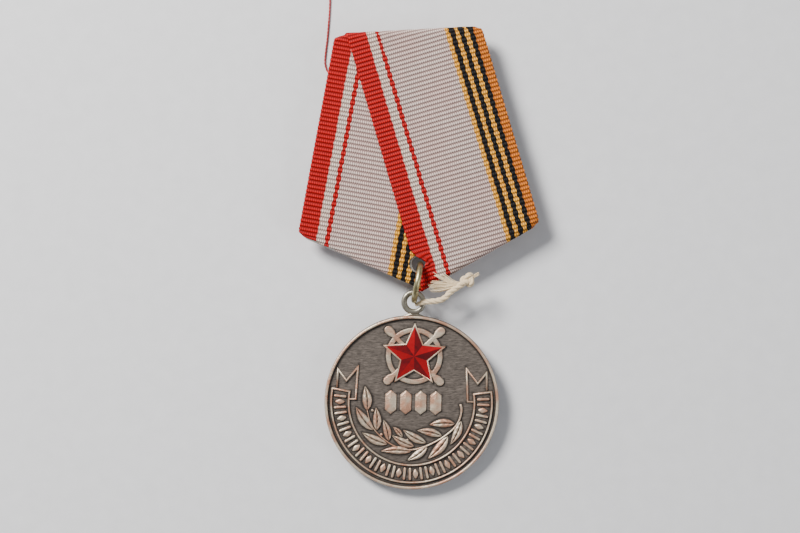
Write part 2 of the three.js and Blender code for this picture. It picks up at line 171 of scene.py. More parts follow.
def lathe(profile, segments):
    """A closed body of revolution about Z, from (radius, height) points that start and end on the axis."""
    profile = np.array(profile)
    angle = np.arange(segments) * 2 * pi / segments
    inner = profile[1:-1]
    x = np.outer(inner[:, 0], np.cos(angle))
    y = np.outer(inner[:, 0], np.sin(angle))
    z = np.repeat(inner[:, 1:2], segments, axis=1)
    points = np.stack([x, y, z], 2).reshape(-1, 3)
    faces = grid_faces(len(inner), segments, close_columns=True).tolist()
    first, last = len(points), len(points) + 1
    points = np.vstack([points, [0, 0, profile[0, 1]], [0, 0, profile[-1, 1]]])
    top = (len(inner) - 1) * segments
    for k in range(segments):
        after = (k + 1) % segments
        faces.append([first, after, k])
        faces.append([last, top + k, top + after])
    return points, faces


def smooth_path(points, spacing):
    """Catmull-Rom points through a given route, about `spacing` apart."""
    points = np.array(points, float)
    ends = np.vstack([2 * points[0] - points[1], points, 2 * points[-1] - points[-2]])
    out = []
    for k in range(1, len(ends) - 2):
        a, b, c, d = ends[k - 1 : k + 3]
        count = max(2, int(np.linalg.norm(c - b) / spacing))
        for t in np.arange(count) / count:
            out.append(0.5 * (2 * b + (c - a) * t + (2 * a - 5 * b + 4 * c - d) * t**2
                              + (3 * b - a - 3 * c + d) * t**3))
    out.append(points[-1])
    return np.array(out)


def unit(vectors):
    return vectors / np.linalg.norm(vectors, axis=1, keepdims=True)


def path_frames(path):
    """Unit tangents and two steady cross directions along a path."""
    tangent = unit(np.gradient(path, axis=0))
    side = np.zeros_like(path)
    side[0] = np.cross(tangent[0], [0.13, 0.21, 0.97])
    for k in range(len(path)):
        start = side[k - 1] if k else side[0]
        side[k] = start - tangent[k] * start.dot(tangent[k])
        side[k] /= np.linalg.norm(side[k])
    return tangent, side, np.cross(tangent, side)


def tube(path, radii, sides):
    """A closed tube round a path, with a radius for each of its points."""
    _, side, up = path_frames(path)
    radii = np.broadcast_to(radii, len(path))
    angle = np.arange(sides) * 2 * pi / sides
    ring = np.cos(angle)[None, :, None] * side[:, None] + np.sin(angle)[None, :, None] * up[:, None]
    points = (path[:, None] + ring * radii[:, None, None]).reshape(-1, 3)
    faces = grid_faces(len(path), sides, close_columns=True).tolist()
    count = len(points)
    points = np.vstack([points, path[0], path[-1]])
    for k in range(sides):
        after = (k + 1) % sides
        faces.append([count, after, k])
        faces.append([count + 1, count - sides + k, count - sides + after])
    return points, faces


def polar(radius, angle):
    """Flat points at the given radii and angles."""
    return np.stack([radius * np.cos(angle), radius * np.sin(angle)], 1)


def joined(parts):
    """Several (points, faces) bodies as one."""
    points, faces, start = [], [], 0
    for part_points, part_faces in parts:
        points.append(part_points)
        faces += [[start + v for v in face] for face in part_faces]
        start += len(part_points)
    return np.vstack(points), faces


def link(tree, source, socket):
    if isinstance(source, bpy.types.NodeSocket):
        tree.links.new(source, socket)
    else:
        socket.default_value = source


def add(tree, kind, inputs=(), output=0, **settings):
    """A node with its settings and inputs, by name or number. Returns one of its outputs."""
    made = tree.nodes.new("ShaderNode" + kind)
    for key, value in settings.items():
        setattr(made, key, value)
    for key, value in dict(inputs).items():
        link(tree, value, made.inputs[key])
    return made.outputs[output]


def maths(tree, operation, a, b=0.0, c=0.0):
    return add(tree, "Math", {0: a, 1: b, 2: c}, operation=operation)


def times(tree, a, b):
    return maths(tree, "MULTIPLY", a, b)


def blend_colours(tree, factor, a, b, mode="MIX"):
    made = tree.nodes.new("ShaderNodeMix")
    made.data_type, made.blend_type = "RGBA", mode
    for socket, value in zip((made.inputs[0], made.inputs[6], made.inputs[7]), (factor, a, b)):
        link(tree, value, socket)
    return made.outputs[2]


def stretch(tree, value, low, high, to_low=0.0, to_high=1.0):
    return add(tree, "MapRange", {0: value, 1: low, 2: high, 3: to_low, 4: to_high})


def colour(red, green, blue):
    """A linear colour from the usual 0 to 255 values."""
    parts = [c / 255 for c in (red, green, blue)]
    return tuple(p / 12.92 if p < 0.0392 else ((p + 0.055) / 1.055) ** 2.4 for p in parts) + (1,)


def new_material(name, **constants):
    """A material and its tree, with constants set on the shader's own sockets."""
    material = bpy.data.materials.new(name)
    material.use_nodes = True
    shader = material.node_tree.nodes["Principled BSDF"]
    for key, value in constants.items():
        shader.inputs[key.replace("_", " ")].default_value = value
    return material, material.node_tree, shader


def bump(tree, shader, height, strength, distance_mm):
    made = add(tree, "Bump", {"Height": height, "Strength": strength, "Distance": distance_mm * MM})
    link(tree, made, shader.inputs["Normal"])


def millimetres(tree, stretch_by=(1, 1, 1)):
    """Coordinates fixed to the object, in millimetres."""
    place_in = add(tree, "TexCoord", output=3)
    return add(tree, "VectorMath", {0: place_in, 1: [s / MM for s in stretch_by]}, operation="MULTIPLY")


def grain(tree, size_mm, detail=4.0, stretch_by=(1, 1, 1), roughness=0.55):
    """Noise whose lumps are about size_mm across."""
    where = millimetres(tree, stretch_by)
    return add(tree, "TexNoise", {"Vector": where, "Scale": 1 / size_mm, "Detail": detail,
                                  "Roughness": roughness})


# --- materials

RIB_PITCH = 0.79
WARP_PITCH = 0.4
BEAD_START, BEAD_PITCH = 4.9, 1.75
RIBBON_WIDTH = 24.0
RED, CREAM, GREY = colour(188, 0, 6), colour(226, 211, 195), colour(214, 196, 186)
ORANGE, BLACK, SELVEDGE = colour(248, 182, 58), colour(12, 8, 8), colour(216, 124, 28)
# The colour of the painted shade in the rib grooves.
GROOVE_SHADE = colour(140, 122, 122)
STRIPES = [
    (0.0, RED), (3.35, CREAM), (4.9, RED), (5.8, GREY), (17.3, ORANGE), (18.1, BLACK),
    (19.05, ORANGE), (19.8, BLACK), (20.75, ORANGE), (21.5, BLACK), (22.45, SELVEDGE),
]


def ribbon_material():
    """Ribbed silk: the warp's colours make the stripes, and the thick weft under it makes the ribs."""
    material, tree, shader = new_material("ribbon_silk", Roughness=0.6, Specular_IOR_Level=0.2)
    surface = add(tree, "UVMap", uv_map="surface")
    parts = tree.nodes.new("ShaderNodeSeparateXYZ")
    link(tree, surface, parts.inputs[0])
    across, along = parts.outputs[0], parts.outputs[1]
    # The ribs wander a little, since the weft was never beaten up quite evenly.
    slow = add(tree, "TexNoise", {"Vector": surface, "Scale": 0.35, "Detail": 2.0})
    ribs = maths(tree, "DIVIDE", along, RIB_PITCH)
    rib = maths(tree, "FLOOR", ribs)
    odd = maths(tree, "MULTIPLY_ADD", maths(tree, "MODULO", rib, 2.0), 2.0, -1.0)
    phase = maths(tree, "FRACT", ribs)
    crown = maths(tree, "SINE", times(tree, phase, pi))
    # A stripe swells over one rib and draws in over the next, which beads its edges.
    ramp = tree.nodes.new("ShaderNodeValToRGB")
    ramp.color_ramp.interpolation = "CONSTANT"
    for k, (start, tint) in enumerate(STRIPES):
        stop = ramp.color_ramp.elements[k] if k < 2 else ramp.color_ramp.elements.new(start / RIBBON_WIDTH)
        stop.position, stop.color = start / RIBBON_WIDTH, tint
    beads = maths(tree, "COSINE", times(tree, maths(tree, "SUBTRACT", across, BEAD_START),
                                   2 * pi / BEAD_PITCH))
    swell = times(tree, times(tree, odd, crown), beads)
    wander = stretch(tree, slow, 0.3, 0.7, -0.05, 0.05)
    shifted = maths(tree, "ADD", maths(tree, "MULTIPLY_ADD", swell, 0.1, across), wander)
    link(tree, maths(tree, "DIVIDE", shifted, RIBBON_WIDTH), ramp.inputs[0])
    # The warp threads lie over one rib and under the next, so neighbours show by turns.
    ends = maths(tree, "MULTIPLY_ADD", across, 2 * pi / WARP_PITCH, times(tree, odd, pi / 2))
    thread = maths(tree, "MULTIPLY_ADD", maths(tree, "SINE", ends), 0.5, 0.5)
    streak_place = add(tree, "VectorMath", {0: surface, 1: (5.0, 0.1, 1.0)}, operation="MULTIPLY")
    streaks = add(tree, "TexNoise", {"Vector": streak_place, "Scale": 1.0, "Detail": 3.0})
    # Painted light and shade: lit is high on the rib crowns and on the tops of the warp threads, and where it
    # is low the grooves take the painted shade colour. light is a painted highlight along each warp thread,
    # multiplied by the real streaks of uneven warp colour.
    lit = stretch(tree, maths(tree, "MULTIPLY_ADD", thread, 0.7, maths(tree, "POWER", crown, 2.6)), 0.3, 1.45)
    light = times(tree, stretch(tree, thread, 0, 1, 0.56, 1.24), stretch(tree, streaks, 0.3, 0.7, 0.86, 1.12))
    # Old silk has yellowed and pinked unevenly.
    patches = add(tree, "TexNoise", {"Vector": surface, "Scale": 0.16, "Detail": 1.0})
    blush = stretch(tree, patches, 0.35, 0.65, 1.0, 0.9)
    lit_crest = blend_colours(tree, 1.0, ramp.outputs[0], add(tree, "CombineColor", {
        0: light, 1: times(tree, light, blush), 2: times(tree, light, blush)}), "MULTIPLY")
    shaded_valley = blend_colours(tree, 1.0, ramp.outputs[0], GROOVE_SHADE, "MULTIPLY")
    link(tree, blend_colours(tree, lit, shaded_valley, lit_crest), shader.inputs["Base Color"])
    fibres = grain(tree, 0.05, 3.0)
    height = maths(tree, "MULTIPLY_ADD", times(tree, thread, crown), 1.2, times(tree, fibres, 0.4))
    bump(tree, shader, height, 0.8, 0.06)
    return material


def struck_material(name, low, high, field, roughness):
    """Silvered and oxidised metal: dark in the hollows, from oxide and from painted shade, rubbed bright and
    slightly coppery on top.
    """
    material, tree, shader = new_material(name, Metallic=0.55, Roughness=roughness, Specular_IOR_Level=0.4)
    wear_and_facet_light = add(tree, "Attribute", output=2, attribute_name="wear_and_facet_light")
    patina_and_shade = add(tree, "Attribute", output=2, attribute_name="patina_and_shade")
    blotch = grain(tree, 1.3, 4.0)
    fine = grain(tree, 0.13, 5.0)
    wrinkle = grain(tree, 0.34, 5.0, (0.35, 1.6, 1.0), 0.62)
    worn = maths(tree, "ADD", wear_and_facet_light, stretch(tree, fine, 0.3, 0.7, -0.2, 0.2))
    worn = maths(tree, "ADD", worn, stretch(tree, blotch, 0.3, 0.7, -0.1, 0.1))
    copper = stretch(tree, grain(tree, 2.2, 3.0), 0.4, 0.62)
    top = blend_colours(tree, copper, high, colour(188, 142, 116))
    # Painted light and shade on the field's grain: the troughs of the wrinkles get the darker copy of the
    # field colour, and their ridges get the lighter copy. The blotches use the same darker copy for real
    # uneven toning.
    shaded_and_toned_field = tuple(0.55 * c for c in field[:3]) + (1,)
    raised = tuple(1.35 * c for c in field[:3]) + (1,)
    base = blend_colours(tree, stretch(tree, wrinkle, 0.36, 0.64), shaded_and_toned_field, raised)
    base = blend_colours(tree, stretch(tree, blotch, 0.35, 0.7, 0.0, 0.5), base, shaded_and_toned_field)
    metal = blend_colours(tree, stretch(tree, worn, 0.3, 0.85), base, top)
    # Patina and painted shade: the crevice colour where the relief meets the field and at the foot of the
    # rim.
    metal = blend_colours(tree, times(tree, patina_and_shade, 0.9), metal, low)
    link(tree, metal, shader.inputs["Base Color"])
    link(tree, stretch(tree, worn, 0.0, 1.0, roughness + 0.14, roughness - 0.06), shader.inputs["Roughness"])
    height = maths(tree, "MULTIPLY_ADD", fine, 0.35, wrinkle)
    bump(tree, shader, height, 0.7, 0.09)
    return material


def plated_material(name, bright, dull, roughness):
    """Plain worn metal with fine scratches and a dull bloom."""
    material, tree, shader = new_material(name, Metallic=0.95)
    bloom = grain(tree, 1.6, 5.0)
    speck = grain(tree, 0.12, 3.0)
    mixed = maths(tree, "MULTIPLY_ADD", speck, 0.4, times(tree, bloom, 0.8))
    tone = blend_colours(tree, stretch(tree, mixed, 0.45, 0.75), bright, dull)
    link(tree, tone, shader.inputs["Base Color"])
    link(tree, stretch(tree, mixed, 0.4, 0.8, roughness - 0.08, roughness + 0.16), shader.inputs["Roughness"])
    lines = grain(tree, 0.09, 2.0, (0.12, 1.0, 1.0))
    bump(tree, shader, maths(tree, "ADD", lines, speck), 0.2, 0.03)
    return material


def enamel_material():
    """Ruby enamel: clear and glossy, with painted light and shade on its facets: one facet of each point
    lighter, the other darker, both lightening towards the tip.
    """
    material, tree, shader = new_material(
        "ruby_enamel", Roughness=0.14, Coat_Weight=0.5, Coat_Roughness=0.05, Specular_IOR_Level=0.4)
    facet_shading = add(tree, "Attribute", output=2, attribute_name="wear_and_facet_light")
    cloud = stretch(tree, grain(tree, 0.8, 3.0), 0.3, 0.7, -0.12, 0.12)
    level = maths(tree, "ADD", facet_shading, cloud)
    link(tree, blend_colours(tree, level, colour(56, 0, 4), colour(156, 0, 10)), shader.inputs["Base Color"])
    bump(tree, shader, grain(tree, 0.45, 2.0), 0.12, 0.05)
    return material


def thread_material(name, pale, dark, fuzz_mm):
    material, tree, shader = new_material(name, Roughness=0.85, Sheen_Weight=0.4, Sheen_Roughness=0.5)
    fibre = grain(tree, fuzz_mm, 4.0, (1.0, 2.4, 2.4))
    link(tree, blend_colours(tree, stretch(tree, fibre, 0.35, 0.68), dark, pale), shader.inputs["Base Color"])
    bump(tree, shader, fibre, 0.7, fuzz_mm * 0.6)
    return material


def floor_material():
    material, tree, shader = new_material("pale_floor", Roughness=0.9)
    speckle = grain(tree, 3.0, 3.0)
    pale, paler = colour(214, 214, 216), colour(219, 219, 221)
    tone = blend_colours(tree, stretch(tree, speckle, 0.3, 0.7), pale, paler)
    link(tree, tone, shader.inputs["Base Color"])
    return material


# --- ribbon

LEAN = math.atan((BLOCK_WIDE_HALF - BLOCK_TOP_HALF) / (BLOCK_TOP - BLOCK_WIDE_Y))
LOWER = math.atan((BLOCK_WIDE_Y - BLOCK_TIP_Y) / BLOCK_WIDE_HALF)
RIB_HEIGHT = 0.17
TOP_FLAP, LOWER_FLAP = 7.5, 6.6
PUNCH_OFFSET = 0.55


def rib_profile(along):
    """The height of the ribs, from 0 in the grooves to 1 on the crowns."""
    phase = np.mod(along / RIB_PITCH, 1.0)
    return np.sqrt(np.clip(1 - (2 * phase - 1) ** 2, 0, 1)) ** 1.7


def at_corners(cells):
    """The grid's points that are a corner of any of the marked cells."""
    points = np.zeros((cells.shape[0] + 1, cells.shape[1] + 1), bool)
    for down in (0, 1):
        for right in (0, 1):
            points[down:down + cells.shape[0], right:right + cells.shape[1]] |= cells
    return points


def ribbon_panel(name, side, half_stack, inset, material):
    """One length of ribbon, wound round the top edge and the lower edge of the block.

    side is -1 for the left panel and +1 for the right one. half_stack is the height of its outer
    face over the middle of the plate, and inset is how far its folds lie inside the block's outline.
    """
    thickness, rolled = 0.3, 0.08
    run = np.array([side * math.sin(LEAN), -math.cos(LEAN)])
    over = np.array([math.cos(LEAN), side * math.sin(LEAN)])
    start = np.array([side * BLOCK_TOP_HALF, BLOCK_TOP]) - (over * RIBBON_WIDTH if side > 0 else 0)
    body = np.linspace(0, RIBBON_WIDTH, 101)
    u = np.concatenate([[0, 0], body, [RIBBON_WIDTH] * 2])
    sink = np.concatenate([[thickness, thickness / 2], np.zeros(len(body)), [thickness / 2, thickness]])
    bulge = np.concatenate([[0, -rolled], np.zeros(len(body)), [rolled, 0]])
    radius = half_stack
    folds = [
        (np.array([0.0, 1.0]), BLOCK_TOP - inset, TOP_FLAP),
        (np.array([side * math.sin(LOWER), -math.cos(LOWER)]),
         -BLOCK_TIP_Y * math.cos(LOWER) - inset, LOWER_FLAP),
    ]
    arc = pi * radius
    # The strip's limits: past each fold it goes half way round and then along the back.
    limits = []
    for normal, edge, flap in folds:
        far = edge - radius + arc + flap - radius
        limits.append((far - start @ normal - u * (over @ normal)) / (run @ normal))
    first, last = limits
    v = np.arange(first.min(), last.max() + 0.1, RIB_PITCH / 9)
    uu, vv = np.meshgrid(u, v)
    vv = np.clip(vv, first[None], last[None])
    kept = (vv[1:, 1:] - vv[:-1, 1:] > 1e-6) | (vv[1:, :-1] - vv[:-1, :-1] > 1e-6)
    flat = start + uu[..., None] * over + vv[..., None] * run
    # The suspension ring has pushed the selvedges aside at its hole, and rucked them up.
    towards = -side
    selvedge = uu if side > 0 else RIBBON_WIDTH - uu
    at_hole = (start + vv[..., None] * run)[..., 1] - (0.15 if side > 0 else -0.5)
    at_hole = at_hole + uu * over[1]
    push = np.exp(-((at_hole / 1.35) ** 2)) * np.exp(-((selvedge / 1.9) ** 2))
    flat[..., 0] -= towards * push * (2.1 if side > 0 else 0.3)
    if side < 0:
        # The hole is punched through the selvedge of the panel underneath.
        middle = (flat[1:, 1:] + flat[:-1, :-1]) / 2
        kept &= np.hypot(middle[..., 0] + PUNCH_OFFSET, middle[..., 1]) > TIP_HOLE_RADIUS
    ruck = np.exp(-((at_hole / 1.6) ** 2)) * np.exp(-(((selvedge - 0.35) / 1.0) ** 2))
    rib = rib_profile(vv)
    outwards = RIB_HEIGHT * (rib - 1) - sink[None]
    edge_beads = bulge[None] + np.sign(bulge)[None] * 0.1 * (rib - 0.4)
    flat = flat + edge_beads[..., None] * over
    wave = 0.05 * np.sin(uu * 0.35 + 1.3 * side) * np.sin(vv * 0.13 + 0.6)
    points = np.zeros(flat.shape[:2] + (3,))
    points[..., :2] = flat
    points[..., 2] = radius + outwards + wave + ruck * (0.3 if side > 0 else 0.1)
    # The folds draw in at the block's rounded corners.
    drawn_in = 0.42 * np.exp(-(((RIBBON_WIDTH - selvedge) / 0.8) ** 2))
    for normal, edge, _ in folds:
        past = flat @ normal - (edge - drawn_in - radius)
        angle = np.clip(past / radius, 0, pi)
        on_back = np.clip(past - arc, 0, None)
        reach = (radius + outwards) * np.sin(angle) - on_back
        bent = past > 0
        base = flat - past[..., None] * normal
        points[..., :2] = np.where(bent[..., None], base + reach[..., None] * normal, points[..., :2])
        points[..., 2] = np.where(bent, (radius + outwards) * np.cos(angle), points[..., 2])
    # The hole goes on through the folded ends behind the plate.
    middle = (points[1:, 1:] + points[:-1, :-1]) / 2
    cut = (middle[..., 2] < 0) & (np.hypot(middle[..., 0], middle[..., 1]) < TIP_HOLE_RADIUS)
    rim = at_corners(cut) & at_corners(kept & ~cut)
    away = np.linalg.norm(points[rim][:, :2], axis=1, keepdims=True)
    points[rim, :2] *= TIP_HOLE_RADIUS / away
    rows, columns = uu.shape
    faces = grid_faces(rows, columns)[(kept & ~cut).ravel()]
    used, faces = np.unique(faces[:, ::-1], return_inverse=True)
    uv = np.stack([uu, vv], 2).reshape(-1, 2)[used]
    piece = new_piece(name, (points.reshape(-1, 3)[used], faces.reshape(-1, 4)), BLOCK, material, uv=uv)
    return piece, float(np.mean(last - first))


# --- jump ring and eyelet

def jump_ring(material):
    """A drawn wire ring, a little oval and worn, with its soldered joint under the block."""
    around, section = 160, 20
    a = np.arange(around) * 2 * pi / around
    b = np.arange(section) * 2 * pi / section
    aa, bb = np.meshgrid(a, b, indexing="ij")
    joint_at = math.radians(120)
    gap = np.exp(-(((aa - joint_at) / 0.035) ** 2))
    thick = WIRE_RADIUS * (0.97 - 0.16 * gap + 0.012 * np.sin(7 * aa) * np.sin(3 * bb))
    reach = RING_RADIUS + thick * np.cos(bb)
    points = np.stack([thick * np.sin(bb) + 0.05 * np.sin(2 * aa), reach * np.cos(aa), reach * np.sin(aa)], 2)
    faces = grid_faces(around, section, True, True)[:, ::-1]
    return new_piece("ring_of_wire", (points.reshape(-1, 3), faces), RING, material)


def eyelet(material):
    """The loop on the disc's edge, worn a little uneven, with a fillet of metal where it joins."""
    around, section = 144, 28
    a = np.arange(around) * 2 * pi / around
    b = np.arange(section) * 2 * pi / section
    aa, bb = np.meshgrid(a, b, indexing="ij")
    band = LOOP_BAND * (1 + 0.12 * np.cos(aa - math.radians(200)))
    square = 1 / (np.abs(np.cos(bb)) ** 2.6 + np.abs(np.sin(bb)) ** 2.6) ** (1 / 2.6)
    reach = LOOP_RADIUS + band * square * np.cos(bb)
    y, z = EYELET_TO_DISC + reach * np.sin(aa), 0.52 * square * np.sin(bb)
    points = np.stack([reach * np.cos(aa), y, z], 2)
    loop = (points.reshape(-1, 3), grid_faces(around, section, True, True)[:, ::-1].tolist())
    # A short neck and a fillet spread along the rim under the loop.
    t = np.linspace(-1, 1, 41)
    width = 1.9 * t
    top = DISC_RADIUS + 0.32 * np.exp(-((t / 0.5) ** 2)) - 0.1
    saddle = np.stack([width, np.sqrt(top**2 - width**2), 0 * t], 1)
    foot = tube(saddle, 0.4 - 0.22 * t**2, 14)
    return new_piece("eyelet_loop", joined([loop, foot]), MEDAL, material)


# --- struck relief

def offset_sides(path, closed):
    """Mitred sideways directions for a flat path."""
    before = np.roll(path, 1, axis=0)
    after = np.roll(path, -1, axis=0)
    if not closed:
        before[0], after[-1] = 2 * path[0] - path[1], 2 * path[-1] - path[-2]
    arriving, leaving = unit(path - before), unit(after - path)
    left = np.stack([-arriving[:, 1], arriving[:, 0]], 1)
    mitre = unit(left + np.stack([-leaving[:, 1], leaving[:, 0]], 1))
    return mitre / np.clip((mitre * left).sum(1), 0.28, 1)[:, None]


def ridge(path, half_width, height, closed=False, flatness=4.0, steps=9):
    """A raised bar along a flat path. A high flatness gives it a flat top, and a low one a round top."""
    path, base = np.array(path, float), FIELD_Z - 0.12
    sides = offset_sides(path, closed)
    half = np.broadcast_to(half_width, len(path)).astype(float)
    tall = np.broadcast_to(height, len(path)).astype(float)
    t = np.sin(np.linspace(-pi / 2, pi / 2, steps))
    rise = (1 - np.abs(t) ** flatness) ** 0.5
    flat = path[:, None] + sides[:, None] * (t[None, :, None] * half[:, None, None])
    z = base + (tall[:, None] + FIELD_Z - base) * rise[None]
    points = np.concatenate([flat, z[..., None]], 2).reshape(-1, 3)
    faces = grid_faces(len(path), steps, close_rows=closed)
    faces = np.vstack([faces[:, ::-1], bottom_faces(len(path), steps, closed)]).tolist()
    if not closed:
        faces.append(list(range(steps)))
        faces.append(list(range(len(points) - steps, len(points)))[::-1])
    return points, faces


def bottom_faces(rows, columns, closed):
    """Quads that close the underside of a bar from one foot to the other."""
    i = np.arange(rows if closed else rows - 1)
    a, b = i * columns, (i + 1) % rows * columns
    return np.stack([a + columns - 1, b + columns - 1, b, a], 1)


def star_outline(outer, inner):
    angle = pi / 2 + np.arange(10) * pi / 5
    reach = np.where(np.arange(10) % 2, inner, outer)
    return polar(reach, angle) + STAR_CENTRE


def arc(radius, start, end, count):
    return polar(radius, np.radians(np.linspace(start, end, count)))


def leaf(base, tip, width, bow):
    """A pointed leaf with a groove for its midrib and faint side veins."""
    base, tip, height = np.array(base, float), np.array(tip, float), 0.42
    length = np.linalg.norm(tip - base)
    along = (tip - base) / length
    side = np.array([-along[1], along[0]])
    s, t = np.meshgrid(np.linspace(0, 1, 27), np.linspace(-1, 1, 17), indexing="ij")
    half = 0.6 * width * np.sin(pi * s**0.85) ** 0.8 * (1.06 - 0.12 * s)
    centre = bow * length * np.sin(pi * s)
    flat = base + (s * length)[..., None] * along + (t * half + centre)[..., None] * side
    dome = (1 - np.abs(t) ** 3.2) * (0.45 + 0.55 * np.sin(pi * s) ** 0.6)
    groove = 0.72 * np.exp(-((t / 0.15) ** 2)) * np.sin(pi * s) ** 0.5
    veins = 0.07 * np.sin(s * 30 - np.abs(t) * 5) * (1 - t**2)
    z = FIELD_Z - 0.1 + (height + 0.1) * np.clip(dome - groove + veins, 0, 2)
    points = np.concatenate([flat, z[..., None]], 2).reshape(-1, 3)
    rows, columns = s.shape
    faces = np.vstack([grid_faces(rows, columns)[:, ::-1], bottom_faces(rows, columns, False)])
    return points, faces.tolist()


def berry(centre, radius):
    profile = [(0, FIELD_Z - 0.1)] + [
        (radius * math.sin(a), FIELD_Z + 0.95 * radius * math.cos(a)) for a in np.linspace(1.7, 0.15, 8)
    ] + [(0, FIELD_Z + 0.95 * radius)]
    points, faces = lathe(profile, 20)
    return points + np.array([*centre, 0]), faces


def facetted(rings, centre):
    """A closed body through level rings of points, lowest first."""
    sides = len(rings[0])
    points = np.vstack(rings) + np.array([*centre, 0])
    faces = grid_faces(len(rings), sides, close_columns=True).tolist()
    return points, faces + [list(range(sides))[::-1], list(range(len(points) - sides, len(points)))]


def lozenge(centre, half_wide, half_tall, height, turn):
    """A facetted lozenge with a flat top, its corners cut short."""
    corner = 0.16
    outline = []
    for x, y in ((1, 0), (0, 1), (-1, 0), (0, -1)):
        sideways = np.array([-y, x]) * corner
        for way in (-1, 1):
            outline.append(np.array([x, y]) * (1 - corner) + way * sideways)
    outline = np.array(outline)
    levels = [(1.0, -0.1), (0.93, 0.55 * height), (0.8, 0.85 * height), (0.36, height)]
    cos, sin = math.cos(turn), math.sin(turn)
    rings = []
    for size, z in levels:
        x, y = outline[:, 0] * half_wide * size, outline[:, 1] * half_tall * size
        rings.append(np.stack([cos * x - sin * y, sin * x + cos * y, 0 * x + FIELD_Z + z], 1))
    return facetted(rings, centre)


def stud(centre, width, height):
    """A long hexagonal stud whose facets rise to a short ridge."""
    half_wide, half_tall, rise = width / 2, height / 2, 0.42
    shoulder = half_tall - 0.75 * half_wide
    outline = np.array([(half_wide, -shoulder), (half_wide, shoulder), (0, half_tall),
                        (-half_wide, shoulder), (-half_wide, -shoulder), (0, -half_tall)])
    levels = [(0.0, -0.1), (0.08, 0.5 * rise), (0.3, 0.72 * rise), (0.86, rise)]
    rings = []
    for inset, z in levels:
        step = inset * half_wide * np.array([[1.0, 1.0], [1.0, 1.0], [1.0, 1.25]] * 2)
        rings.append(np.c_[outline - np.sign(outline) * step, np.full(6, FIELD_Z + z)])
    return facetted(rings, centre)


LEAVES = [
    ((-8.1, -1.7), (-8.6, 2.9), 1.75), ((-6.9, -5.3), (-10.2, -1.0), 1.8), ((-6.3, -5.3), (-6.5, -1.0), 1.55),
    ((-4.2, -7.8), (-9.0, -5.7), 1.6), ((-4.0, -7.2), (-5.1, -3.2), 1.45), ((0.7, -8.1), (-3.5, -6.1), 1.5),
    ((-1.5, -6.4), (-3.3, -4.5), 1.0), ((2.9, -7.4), (-1.5, -5.0), 1.55), ((0.2, -9.0), (-5.5, -9.1), 1.5),
    ((3.1, -8.0), (-0.6, -10.7), 1.5), ((5.8, -6.0), (1.1, -5.1), 1.5), ((6.9, -6.0), (3.2, -10.3), 1.75),
    ((8.1, -3.7), (3.3, -4.0), 1.6), ((9.2, -3.1), (7.3, -7.6), 1.5),
]
STEM = [(9.0, -0.1), (9.2, -1.2), (8.9, -2.8), (8.0, -4.4), (6.1, -6.1), (3.6, -7.6), (1.2, -8.5),
        (-0.8, -8.7), (-2.7, -8.2), (-4.6, -7.1), (-6.4, -5.5), (-7.5, -3.8), (-8.1, -1.6)]
BERRIES = [((-7.15, -1.6), 0.3), ((-5.4, -6.0), 0.32), ((-0.6, -6.9), 0.28)]


def laurel_parts():
    stem = smooth_path(STEM, 0.35)
    thickness = np.interp(np.linspace(0, 1, len(stem)), [0, 0.08, 0.5, 1], [0.3, 0.22, 0.2, 0.12])
    parts = [ridge(stem, thickness, 0.34, flatness=2.4)]
    parts += [leaf(*shape, bow=0.05 if k % 2 else -0.04) for k, shape in enumerate(LEAVES)]
    parts += [berry(centre, radius) for centre, radius in BERRIES]
    return parts


def scroll_parts():
    """The scroll's border lines, its folded ends and their swallowtails."""
    low, high, end = 11.55, 14.75, 9.0
    start, stop = 180 - end, 360 + end
    frame_line = np.vstack([arc(high, start, stop, 150), arc(low, stop, start, 130)])
    parts = [ridge(frame_line, 0.2, 0.4, closed=True, flatness=3.0)]
    tail = [(11.5, 0.4), (10.25, 0.45), (10.0, 6.3), (12.05, 3.75), (13.6, 5.75), (13.75, 2.6)]
    for side in (-1, 1):
        parts.append(ridge([(side * x, y) for x, y in tail], 0.19, 0.38, flatness=3.0))
    return parts


def pattern_parts():
    """A running pattern of radial bars and lozenges in the scroll."""
    parts = []
    count = 43
    middle, reach = 13.15, 1.12
    for k in range(count):
        degrees = 176 + k * 188 / (count - 1)
        angle = math.radians(degrees)
        out = np.array([math.cos(angle), math.sin(angle)])
        if k % 3 == 1:
            parts.append(lozenge(middle * out, 1.12, 0.62, 0.34, turn=angle))
        else:
            path = [out * (middle + reach * t) for t in (-1, -0.86, 0, 0.86, 1)]
            parts.append(ridge(path, [0.14, 0.27, 0.25, 0.27, 0.14], 0.34, flatness=5))
    return parts


def emblem_parts():
    """A plain ring and two crossed batons behind the star."""
    parts = [ridge(arc(4.75, 0, 360, 97)[:-1] + STAR_CENTRE, 0.52, 0.24, closed=True, flatness=6, steps=13)]
    for lean in (-1, 1):
        way = np.array([lean * math.sin(math.radians(46)), math.cos(math.radians(46))])
        t = np.array([-7.4, -7.25, -6.9, -5.9, -5.5, -5.2, 0, 5.2, 5.5, 5.9, 6.9, 7.25, 7.4])
        half = np.array([0.3, 0.62, 0.86, 0.84, 0.62, 0.46, 0.46, 0.46, 0.62, 0.84, 0.86, 0.62, 0.3])
        parts.append(ridge(STAR_CENTRE + t[:, None] * way, half, 0.27, flatness=6, steps=13))
    return parts


